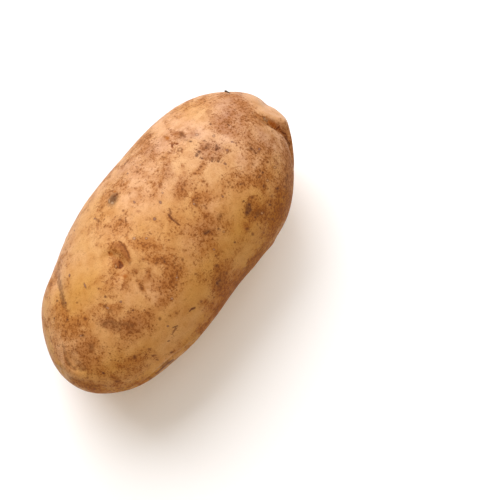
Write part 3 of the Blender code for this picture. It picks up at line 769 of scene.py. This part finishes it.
def tuber_points(directions):
    """Points of the skin: the body, with its swells, eyes and grooves raised along its normals."""
    points = body_points(directions)
    height = sum(swell_height(points, swell) for swell in SWELLS)
    height += sum(eye_height(points, eye) for eye in EYES)
    height += sum(groove_height(points, groove) for groove in GROOVES)
    return points + outward(points) * height[:, None]


# The photograph's view

def photo_view():
    """Where the photograph's camera stands, and the unit vectors to its right, its top and back to it."""
    azimuth = math.radians(CAMERA_AZIMUTH)
    elevation = math.radians(CAMERA_ELEVATION)
    level = math.cos(elevation)
    right = np.array([math.cos(azimuth), math.sin(azimuth), 0.0])
    back = np.array([math.sin(azimuth) * level, -math.cos(azimuth) * level, math.sin(elevation)])
    up = np.cross(back, right)
    aim_right = (PHOTO_SIDE / 2 - MIDDLE_PIXEL[0]) * PIXEL
    aim_up = (MIDDLE_PIXEL[1] - PHOTO_SIDE / 2) * PIXEL
    eye = MIDDLE + aim_right * right + aim_up * up + CAMERA_DISTANCE * back
    return eye, right, up, back


EYE_POINT, RIGHT, UP, BACK = photo_view()


def add_camera():
    camera = bpy.data.objects.new("camera", bpy.data.cameras.new("camera"))
    camera.data.lens = LENS
    camera.data.sensor_width = SENSOR
    camera.data.clip_start = CLIP_START
    rows = [(RIGHT[k], UP[k], BACK[k], EYE_POINT[k]) for k in range(3)]
    camera.matrix_world = Matrix((*rows, (0, 0, 0, 1)))
    bpy.context.collection.objects.link(camera)
    bpy.context.scene.camera = camera


def seen_point(tree, x, y):
    """The point of the skin that a pixel of the photograph shows, or None beside the potato."""
    per_pixel = SENSOR / LENS / PHOTO_SIDE
    ray = RIGHT * (x - PHOTO_SIDE / 2) * per_pixel - UP * (y - PHOTO_SIDE / 2) * per_pixel - BACK
    place = tree.ray_cast(Vector(EYE_POINT), Vector(ray).normalized())[0]
    return None if place is None else np.array(place)


# The skin's mesh

def runs_along_x(edge):
    first, second = edge.verts
    return abs(first.co.x - second.co.x) > LEVEL


def skin_grid():
    """A cube from -1 to 1 whose faces are grids, as a mesh, and its corners' places."""
    grid = bmesh.new()
    bmesh.ops.create_cube(grid, size=2)
    for along_x, faces in ((True, FACES_ALONG), (False, FACES_ACROSS)):
        chosen = [edge for edge in grid.edges if runs_along_x(edge) == along_x]
        bmesh.ops.subdivide_edges(grid, edges=chosen, cuts=faces - 1, use_grid_fill=True)
    mesh = bpy.data.meshes.new("potato_skin")
    grid.to_mesh(mesh)
    grid.free()
    return mesh, read_vectors(mesh.vertices, "co")


def read_vectors(rows, field):
    """A vector for each row of a mesh's data, as an array."""
    values = np.empty(3 * len(rows))
    rows.foreach_get(field, values)
    return values.reshape(-1, 3)


def lay_out_uv(mesh, corners):
    """A map with the four long sides stacked in one column and the two ends in another."""
    uv = np.empty((len(mesh.loops), 2))
    loop_corner = np.empty(len(mesh.loops), int)
    mesh.loops.foreach_get("vertex_index", loop_corner)
    row_of_side = {(1, 1): 0, (1, -1): 1, (2, 1): 2, (2, -1): 3, (0, 1): 0, (0, -1): 1}
    for face in mesh.polygons:
        loops = slice(face.loop_start, face.loop_start + face.loop_total)
        places = corners[loop_corner[loops]]
        middle = places.mean(axis=0)
        axis = int(np.argmax(np.abs(middle)))
        row = row_of_side[axis, int(np.sign(middle[axis]))]
        flat = [k for k in (0, 1, 2) if k != axis]
        shares = (places[:, flat] + 1) / 2 * (1 - 2 * UV_MARGIN) + UV_MARGIN
        if axis == 0:
            uv[loops, 0] = UV_SIDES_WIDTH + shares[:, 0] * (1 - UV_SIDES_WIDTH)
            uv[loops, 1] = (row + shares[:, 1]) / UV_ENDS
        else:
            uv[loops, 0] = shares[:, 0] * UV_SIDES_WIDTH
            uv[loops, 1] = (row + shares[:, 1]) / UV_SIDES
    mesh.uv_layers.new(name="OFBake").data.foreach_set("uv", uv.ravel())


def stretch(points, target_low):
    """The points stretched a little, so that their box goes from target_low to the solid's top corner."""
    low = points.min(axis=0)
    high = points.max(axis=0)
    return target_low + (points - low) * (TUBER_HIGH - target_low) / (high - low)


def fit_to_solid(points):
    """The points stretched to the solid's box, with the lowest cut off flat."""
    fitted = stretch(points, TUBER_LOW - np.array([0, 0, REST_DEPTH]))
    fitted[:, 2] = np.maximum(fitted[:, 2], TUBER_LOW[2])
    return fitted


def set_points(mesh, points):
    mesh.vertices.foreach_set("co", points.ravel())
    mesh.update()


def wander(points, wavelength, seed):
    """Smooth noise from about -1 to 1 over the points."""
    shift = Vector([step * seed for step in SEED_STEPS])
    return np.array([noise.noise(Vector(point) / wavelength + shift) for point in points])


# Marks on the skin

# A reach turns an offset from the middle into shares of the half length and half width, and a core is the
# half length of a straight middle in those shares.
Mark = namedtuple("Mark", "point reach core tone")
Blot = namedtuple("Blot", "point reach core strength")

# Points of the skin, the directions out of it, and how they face the photograph's camera
Skin = namedtuple("Skin", "points normals facing")


def photo_reach(length, width, turn):
    angle = math.radians(turn)
    along = math.cos(angle) * RIGHT + math.sin(angle) * UP
    across = math.cos(angle) * UP - math.sin(angle) * RIGHT
    return np.array([along / (length / 2 * PIXEL), across / (width / 2 * PIXEL)])


def skin_reach(normal, length, width, turn):
    """The same for a mark on a hidden side, where its length and width are in metres."""
    along = np.cross(normal, SLANT)
    along /= np.linalg.norm(along)
    across = np.cross(normal, along)
    angle = math.radians(turn)
    first = math.cos(angle) * along + math.sin(angle) * across
    second = math.cos(angle) * across - math.sin(angle) * along
    return np.array([first / (length / 2), second / (width / 2)])


def placed(tree, shapes):
    """Each patch or spot that shows on the skin, with its middle there and its reach."""
    for shape in shapes:
        point = seen_point(tree, shape.x, shape.y)
        if point is not None:
            yield shape, point, photo_reach(shape.length, shape.width, shape.turn)


def runs(tree, line):
    """The middle, reach and core of each straight run of a line, which has round ends."""
    for (x0, y0), (x1, y1) in zip(line.route, line.route[1:]):
        length = math.hypot(x1 - x0, y1 - y0)
        turn = math.degrees(math.atan2(y0 - y1, x1 - x0))
        point = seen_point(tree, (x0 + x1) / 2, (y0 + y1) / 2)
        if point is not None:
            yield point, photo_reach(line.width, line.width, turn), length / line.width


def photo_marks(tree):
    marks = []
    for tone, rows in SPOTS.items():
        spots = [Spot(*row) for row in rows]
        marks += [Mark(point, reach, 0.0, tone) for _, point, reach in placed(tree, spots)]
    for stroke in STROKES:
        marks += [Mark(*run, stroke.tone) for run in runs(tree, stroke)]
    return marks


def photo_blots(tree, layer):
    blots = [Blot(point, reach, 0.0, patch.strength) for patch, point, reach in placed(tree, layer.patches)]
    for smear in layer.smears:
        blots += [Blot(*run, smear.strength) for run in runs(tree, smear)]
    return blots


def hidden_places(draw, skin, count):
    """Seeded places on the sides that the photograph doesn't show, with the directions out of the skin."""
    hidden = np.flatnonzero(skin.facing < HIDDEN_FACING)
    chosen = [int(hidden[draw.randrange(len(hidden))]) for _ in range(count)]
    return [(skin.points[k], skin.normals[k]) for k in chosen]


def drawn_reach(draw, normal, full_length, lengths, widths):
    length = draw.uniform(*lengths) * full_length
    width = length * draw.uniform(*widths)
    return skin_reach(normal, length, width, draw.uniform(0, HALF_TURN))


def hidden_blots(draw, skin, layer):
    blots = []
    for point, normal in hidden_places(draw, skin, layer.hidden):
        reach = drawn_reach(draw, normal, layer.longest, HIDDEN_PATCH_LENGTHS, HIDDEN_PATCH_WIDTHS)
        blots.append(Blot(point, reach, 0.0, draw.uniform(*HIDDEN_PATCH_STRENGTHS) * layer.strongest))
    return blots


def hidden_marks(draw, skin):
    """Seeded marks, whose tones come up as often as the photograph's spots do."""
    tones = [tone for tone in HIDDEN_TONES for _ in SPOTS[tone]]
    marks = []
    for point, normal in hidden_places(draw, skin, HIDDEN_SPOTS):
        reach = drawn_reach(draw, normal, HIDDEN_SPOT_LENGTH, HIDDEN_SPOT_LENGTHS, HIDDEN_SPOT_WIDTHS)
        marks.append(Mark(point, reach, 0.0, draw.choice(tones)))
    return marks


def shares_away(offset, mark):
    """How far offsets lie from a mark's core, in shares of its size, as a length and as two shares."""
    shares = offset @ mark.reach.T
    shares[:, 0] = np.sign(shares[:, 0]) * np.maximum(np.abs(shares[:, 0]) - mark.core, 0)
    return np.linalg.norm(shares, axis=1), shares


def cover(points, blots):
    """How much the blots cover the skin at each point, from 0 to 1."""
    left_bare = np.ones(len(points))
    for blot in blots:
        offset = points - blot.point
        near = np.linalg.norm(offset, axis=1) < BLOT_LIMIT
        distance = shares_away(offset, blot)[0]
        left_bare -= left_bare * near * blot.strength * np.exp(-(distance**BLOT_EDGE))
    return 1 - left_bare


def cover_all(skin, tree, draw, layer):
    """Cover by the photograph's patches where it shows the skin, and by seeded ones where it doesn't."""
    seen = cover(skin.points, photo_blots(tree, layer))
    hidden = cover(skin.points, hidden_blots(draw, skin, layer))
    share = smooth_step((skin.facing + layer.past) / (FULL_FACING + layer.past))
    return seen * share + hidden * (1 - share)


def nearest_marks(skin, marks, allowed):
    """For each point the nearest mark in shares of its size, its distance, and the offset in shares."""
    nearest = np.full(len(skin.points), -1)
    closest = np.full(len(skin.points), np.inf)
    offsets = np.full((len(skin.points), 3), NO_MARK)
    for index, mark in enumerate(marks):
        offset = skin.points - mark.point
        distance, shares = shares_away(offset, mark)
        limit = 1 + MARK_MARGIN * np.linalg.norm(mark.reach, axis=1).max()
        near = np.linalg.norm(offset, axis=1) < MARK_LIMIT
        closer = near & allowed & (distance < np.minimum(closest, limit))
        nearest[closer] = index
        closest[closer] = distance[closer]
        offsets[closer, :2] = shares[closer]
        offsets[closer, 2] = 0
    return nearest, closest, offsets


def all_marks(skin, tree, draw):
    """The photograph's marks and the hidden sides' ones, and for each point the one that is nearest."""
    shown = photo_marks(tree)
    others = hidden_marks(draw, skin)
    nearest, closest, offsets = nearest_marks(skin, shown, skin.facing > 0)
    by_chance, chance_distance, chance_offsets = nearest_marks(skin, others, skin.facing < HIDDEN_FACING)
    swapped = chance_distance < closest
    nearest[swapped] = by_chance[swapped] + len(shown)
    closest[swapped] = chance_distance[swapped]
    offsets[swapped] = chance_offsets[swapped]
    return shown + others, nearest, closest, offsets


# The finished skin

def bulge_height(skin, tree):
    """How far the swellings and hollows at the crown raise each point."""
    height = np.zeros(len(skin.points))
    for bulge, point, reach in placed(tree, BULGES):
        offset = skin.points - point
        distance = np.linalg.norm(offset @ reach.T, axis=1)
        near = np.linalg.norm(offset, axis=1) < BLOT_LIMIT
        height += bulge.strength * MM * near * np.exp(-(distance**2))
    return height


def relief(skin, marks, nearest, closest, russet_and_shade):
    """How far each point stands out: ripples, the grain of brown skin, and the marks."""
    height = sum(wander(skin.points, wavelength, seed) * size for wavelength, size, seed in RIPPLES)
    grain = np.abs(wander(skin.points, RUSSET_GRAIN_LENGTH, RUSSET_GRAIN_SEED))
    height += RUSSET_GRAIN * russet_and_shade * grain
    tone_relief = np.array([TONES[mark.tone].relief for mark in marks] + [0.0])
    height += tone_relief[nearest] * smooth_step(MARK_SLOPE - closest)
    return height


def store(mesh, name, kind, values):
    layer = mesh.attributes.new(name, kind, "POINT")
    field = {"FLOAT": "value", "FLOAT_VECTOR": "vector", "FLOAT_COLOR": "color"}[kind]
    layer.data.foreach_set(field, np.ascontiguousarray(values, dtype=np.float32).ravel())


def store_marks(mesh, marks, nearest, offsets):
    """Keeps each point's offset to its mark, and the mark's colours. The last row is for no mark."""
    tones = [TONES[mark.tone] for mark in marks]
    rims = [(*linear(tone.rim), tone.strength) for tone in tones] + [(0, 0, 0, 0)]
    cores = [rgba(tone.core) for tone in tones] + [(0, 0, 0, 0)]
    store(mesh, "mark_offset", "FLOAT_VECTOR", offsets)
    store(mesh, "mark_rim", "FLOAT_COLOR", np.array(rims)[nearest])
    store(mesh, "mark_core", "FLOAT_COLOR", np.array(cores)[nearest])


def look_at(mesh):
    """The mesh's points as they now are, with how they face the photograph's camera."""
    points = read_vectors(mesh.vertices, "co")
    normals = read_vectors(mesh.vertex_normals, "vector")
    to_camera = EYE_POINT - points
    to_camera /= np.linalg.norm(to_camera, axis=1, keepdims=True)
    return Skin(points, normals, np.einsum("ij,ij->i", normals, to_camera))


def plain_skin():
    """The skin's mesh before its relief, with its unwrapping."""
    mesh, corners = skin_grid()
    lay_out_uv(mesh, corners)
    spread = np.tan(corners * math.pi / 4)
    directions = spread / np.linalg.norm(spread, axis=1, keepdims=True)
    set_points(mesh, fit_to_solid(tuber_points(directions)))
    return mesh


def make_skin():
    """The skin's piece, and the tree that finds what a pixel of the photograph shows."""
    mesh = plain_skin()
    skin = look_at(mesh)
    faces = [tuple(face.vertices) for face in mesh.polygons]
    tree = BVHTree.FromPolygons([tuple(point) for point in skin.points], faces)
    draw = random.Random(HIDDEN_SEED)
    covers = {name: cover_all(skin, tree, draw, layer) for name, layer in LAYERS.items()}
    for name, values in covers.items():
        store(mesh, name, "FLOAT", values)
    marks, nearest, closest, offsets = all_marks(skin, tree, draw)
    store_marks(mesh, marks, nearest, offsets)
    height = relief(skin, marks, nearest, closest, covers["russet_and_shade"]) + bulge_height(skin, tree)
    resting = skin.points[:, 2] <= TUBER_LOW[2] + LEVEL
    height[resting] = 0
    set_points(mesh, stretch(skin.points + skin.normals * height[:, None], TUBER_LOW))
    return add_piece(mesh, skin_material()), tree


def add_piece(mesh, material):
    mesh.polygons.foreach_set("use_smooth", np.ones(len(mesh.polygons), bool))
    mesh.materials.append(material)
    piece = bpy.data.objects.new(mesh.name, mesh)
    bpy.context.collection.objects.link(piece)
    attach(piece, "root")
    return piece


def make_stub(tree):
    """The dried end of the stolon at the crown, a bent tube whose root is sunk in the skin."""
    root = seen_point(tree, *STUB_ROOT)
    turns = np.linspace(0, 2 * math.pi, STUB_SIDES, endpoint=False)
    route = [root + (x * RIGHT + y * UP) * PIXEL for x, y in STUB_ROUTE]
    tube = bmesh.new()
    rings = []
    for middle, half_width, way in zip(route, STUB_HALF_WIDTHS, np.gradient(route, axis=0)):
        across = np.cross(way, BACK)
        across /= np.linalg.norm(across)
        spokes = np.outer(np.cos(turns), across) + np.outer(np.sin(turns), BACK)
        spokes *= 1 + STUB_RIDGE_HEIGHT * np.sin(STUB_RIDGES * turns + len(rings))[:, None]
        rings.append([tube.verts.new(middle + spoke * half_width * PIXEL) for spoke in spokes])
    for ring, following in zip(rings, rings[1:]):
        for k in range(STUB_SIDES):
            after = (k + 1) % STUB_SIDES
            tube.faces.new((ring[k], ring[after], following[after], following[k]))
    tube.faces.new(rings[0][::-1])
    tube.faces.new(rings[-1])
    bmesh.ops.recalc_face_normals(tube, faces=tube.faces)
    mesh = bpy.data.meshes.new("stolon_stub")
    tube.to_mesh(mesh)
    tube.free()
    add_piece(mesh, stub_material())


# Materials

def linear(colour):
    """An sRGB colour from 0 to 255 as the linear shares that shaders take."""
    shares = [part / 255 for part in colour]
    return tuple(part / 12.92 if part <= 0.04045 else ((part + 0.055) / 1.055) ** 2.4 for part in shares)


def rgba(colour):
    return (*linear(colour), 1.0)


class Graph:
    """Adds nodes to a material and links them. An input given as a socket is linked, and a value is set."""

    def __init__(self, name):
        self.material = bpy.data.materials.new(name)
        self.material.use_nodes = True
        self.tree = self.material.node_tree
        self.place = self.node("ShaderNodeTexCoord", {}).outputs["Object"]

    def node(self, kind, inputs, **settings):
        node = self.tree.nodes.new(kind)
        for name, value in settings.items():
            setattr(node, name, value)
        for name, value in inputs.items():
            self.give(node.inputs[name], value)
        return node

    def give(self, socket, value):
        if isinstance(value, bpy.types.NodeSocket):
            self.tree.links.new(value, socket)
        else:
            socket.default_value = value

    def shade(self, inputs):
        """Gives the material's shader its inputs."""
        shader = self.tree.nodes["Principled BSDF"]
        for name, value in inputs.items():
            self.give(shader.inputs[name], value)

    def attribute(self, name, output="Fac"):
        return self.node("ShaderNodeAttribute", {}, attribute_name=name).outputs[output]

    def noise(self, field):
        inputs = {"Vector": self.place, "Scale": field.scale, "Detail": field.detail}
        inputs |= {"Roughness": field.roughness, "Distortion": field.distortion}
        return self.node("ShaderNodeTexNoise", inputs).outputs["Fac"]

    def maths(self, operation, first, second):
        return self.node("ShaderNodeMath", {0: first, 1: second}, operation=operation).outputs[0]

    def add(self, first, second):
        return self.maths("ADD", first, second)

    def times(self, first, second):
        return self.maths("MULTIPLY", first, second)

    def between(self, value, low, high, to_low=0.0, to_high=1.0):
        """A smooth change from to_low to to_high as the value goes from low to high."""
        inputs = {"Value": value, "From Min": low, "From Max": high, "To Min": to_low, "To Max": to_high}
        return self.node("ShaderNodeMapRange", inputs, interpolation_type="SMOOTHSTEP").outputs["Result"]

    def mix(self, share, first, second, blend="MIX"):
        """Two colours mixed. The node's sockets for colours are its inputs 6 and 7 and its output 2."""
        inputs = {0: share, 6: first, 7: second}
        return self.node("ShaderNodeMix", inputs, data_type="RGBA", blend_type=blend).outputs[2]

    def swung(self, amount, pattern, coat):
        """A coat's amount, raised here and lowered there by the pattern of a noise."""
        return self.add(amount, self.between(pattern, coat.low, coat.high, -coat.swing, coat.swing))

    def coated(self, colour, amount, coat):
        share = self.between(amount, coat.start, coat.full)
        return self.mix(self.times(share, coat.strength), colour, rgba(coat.colour))

    def bump(self, height, strength, distance):
        inputs = {"Height": height, "Strength": strength, "Distance": distance}
        return self.node("ShaderNodeBump", inputs).outputs["Normal"]


def light_skin(graph, fields, olive):
    """Light skin, from peach to gold to olive, the olive partly painted warm shade and reflected light."""
    light = graph.mix(graph.between(fields["drift"], *GOLD_RANGE), rgba(PEACH), rgba(GOLD))
    light = graph.mix(graph.times(olive, OLIVE_SHARE), light, rgba(OLIVE_GOLD))
    return graph.mix(graph.between(fields["fine_drift"], *TAN_RANGE), light, rgba(TAN))


def brown_skin(graph, fields, covers, colour, amount, stain_and_shade):
    """Brown skin over the light: a stain and a mauve flush, a broken crust with flecks, grit, and soil and
    painted shade.
    """
    colour = graph.coated(colour, graph.swung(amount, fields["blotch"], TINT_COAT), TINT_COAT)
    flush = graph.times(covers["flush"], graph.between(fields["blotch"], *FLUSH_RANGE))
    colour = graph.mix(flush, colour, rgba(MAUVE))
    colour = graph.coated(colour, stain_and_shade, BROWN_COAT)
    for coat in (CRUST_COAT, FLECK_COAT):
        colour = graph.coated(colour, graph.swung(stain_and_shade, fields["net"], coat), coat)
    colour = graph.mix(graph.between(fields["grit"], *GRIT_RANGE), colour, rgba(RUSSET_DEEP))
    return graph.coated(colour, graph.swung(covers["soil_and_shade"], fields["mottle"], SOIL_AND_SHADE_COAT), SOIL_AND_SHADE_COAT)


def freckled(graph, colour, amount, specked):
    """The colour with freckles too small to place, more and darker where the skin is brown or specked."""
    brownness = graph.add(amount, specked)
    crowding = graph.times(specked, FRECKLE_CROWDING)
    for freckle in FRECKLES:
        inputs = {"Vector": graph.place, "Scale": freckle.scale, "Randomness": 1.0}
        cells = graph.node("ShaderNodeTexVoronoi", inputs)
        draw = graph.node("ShaderNodeSeparateColor", {0: cells.outputs["Color"]}).outputs[0]
        rise = (freckle.rarity, freckle.rarity + FRECKLE_RISE)
        dot = graph.between(cells.outputs["Distance"], FRECKLE_CORE * freckle.size, freckle.size, 1.0, 0.0)
        dot = graph.times(dot, graph.between(graph.add(draw, crowding), *rise))
        dot = graph.times(dot, graph.between(brownness, *FRECKLE_BROWN, freckle.least, freckle.most))
        colour = graph.mix(dot, colour, rgba(FRECKLE))
    return colour


def marked(graph, colour, ragged):
    """The colour with the placed marks, which have ragged edges, and the share that they cover."""
    offset = graph.attribute("mark_offset", "Vector")
    distance = graph.node("ShaderNodeVectorMath", {0: offset}, operation="LENGTH").outputs["Value"]
    distance = graph.add(distance, graph.times(ragged, MARK_RAGGEDNESS))
    rim = graph.attribute("mark_rim", "Color")
    core = graph.attribute("mark_core", "Color")
    strength = graph.attribute("mark_rim", "Alpha")
    mark_colour = graph.mix(graph.between(distance, *MARK_CORE_RANGE), rim, core)
    share = graph.times(graph.between(distance, *MARK_RANGE), strength)
    return graph.mix(share, colour, mark_colour), share


def skin_material():
    graph = Graph("potato_skin")
    covers = {name: graph.attribute(name) for name in LAYERS}
    fields = {name: graph.noise(field) for name, field in SKIN_FIELDS.items()}
    amount = graph.maths("SUBTRACT", covers["russet_and_shade"], graph.times(covers["clear_and_highlight"], CLEAR_AND_HIGHLIGHT_SHARE))
    amount = graph.add(amount, graph.between(fields["cloud"], *CLOUD_RANGE))
    stain_and_shade = graph.swung(amount, fields["mottle"], BROWN_COAT)
    brown_share = graph.between(stain_and_shade, BROWN_COAT.start, BROWN_COAT.full)

    colour = light_skin(graph, fields, covers["olive"])
    colour = brown_skin(graph, fields, covers, colour, amount, stain_and_shade)
    for name, tint in TINTS.items():
        colour = graph.mix(covers[name], colour, (*tint, 1.0), blend="MULTIPLY")
    colour = freckled(graph, colour, amount, covers["specked"])
    colour, mark_share = marked(graph, colour, fields["ragged"])

    crust = graph.times(brown_share, graph.times(fields["net"], CRUST_BUMP))
    bumps = graph.add(fields["grain"], crust)
    bumps = graph.maths("SUBTRACT", bumps, graph.times(mark_share, MARK_DIP))
    graph.shade({
        "Base Color": colour,
        "Roughness": graph.between(brown_share, *ROUGHNESS_RANGE),
        "Specular IOR Level": SKIN_SHINE,
        "Normal": graph.bump(bumps, *SKIN_BUMP),
    })
    return graph.material


def stub_material():
    graph = Graph("stolon_stub")
    tone = graph.noise(STUB_FIELD)
    colour = graph.mix(graph.between(tone, *STUB_RANGE), rgba(STUB_DARK), rgba(STUB_LIGHT))
    graph.shade({
        "Base Color": colour,
        "Roughness": STUB_ROUGHNESS,
        "Normal": graph.bump(tone, *STUB_BUMP),
    })
    return graph.material


def floor_material():
    graph = Graph("floor")
    graph.shade({
        "Base Color": graph.mix(graph.noise(FLOOR_FIELD), rgba(FLOOR_LIGHT), rgba(FLOOR_DARK)),
        "Roughness": FLOOR_ROUGHNESS,
        "Specular IOR Level": FLOOR_SHINE,
        "Emission Color": rgba(FLOOR_LIGHT),
        "Emission Strength": FLOOR_GLOW,
    })
    return graph.material


# Floor and lights

def make_floor():
    grid = bmesh.new()
    bmesh.ops.create_grid(grid, x_segments=FLOOR_CELLS, y_segments=FLOOR_CELLS, size=FLOOR_HALF)
    mesh = bpy.data.meshes.new("floor")
    grid.to_mesh(mesh)
    grid.free()
    mesh.materials.append(floor_material())
    floor = bpy.data.objects.new("floor", mesh)
    bpy.context.collection.objects.link(floor)
    floor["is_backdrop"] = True


def add_lamp(lamp):
    """A soft square lamp that points at the potato."""
    up = np.array([0, 0, 1])
    around = math.radians(lamp.around)
    high = math.radians(lamp.high)
    level = math.cos(around) * RIGHT + math.sin(around) * np.cross(up, RIGHT)
    place = lamp.distance * (math.cos(high) * level + math.sin(high) * up)
    light = bpy.data.lights.new(lamp.name, "AREA")
    light.size = lamp.size
    light.energy = lamp.watts
    light.color = linear(lamp.colour)
    lamp_object = bpy.data.objects.new(lamp.name, light)
    lamp_object.location = place
    lamp_object.rotation_euler = Vector(MIDDLE - place).to_track_quat("-Z", "Y").to_euler()
    bpy.context.collection.objects.link(lamp_object)


def set_world():
    world = bpy.data.worlds.new("studio")
    world.use_nodes = True
    background = world.node_tree.nodes["Background"]
    background.inputs["Color"].default_value = rgba(WORLD_COLOUR)
    background.inputs["Strength"].default_value = WORLD_STRENGTH
    bpy.context.scene.world = world


def main():
    bpy.context.scene.view_settings.view_transform = "Standard"
    add_camera()
    set_world()
    for lamp in LAMPS:
        add_lamp(lamp)
    make_floor()
    skin, tree = make_skin()
    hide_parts("potato")
    make_stub(tree)


main()
[[list(corner) for corner in box] for box in (CAD_BOX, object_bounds())]
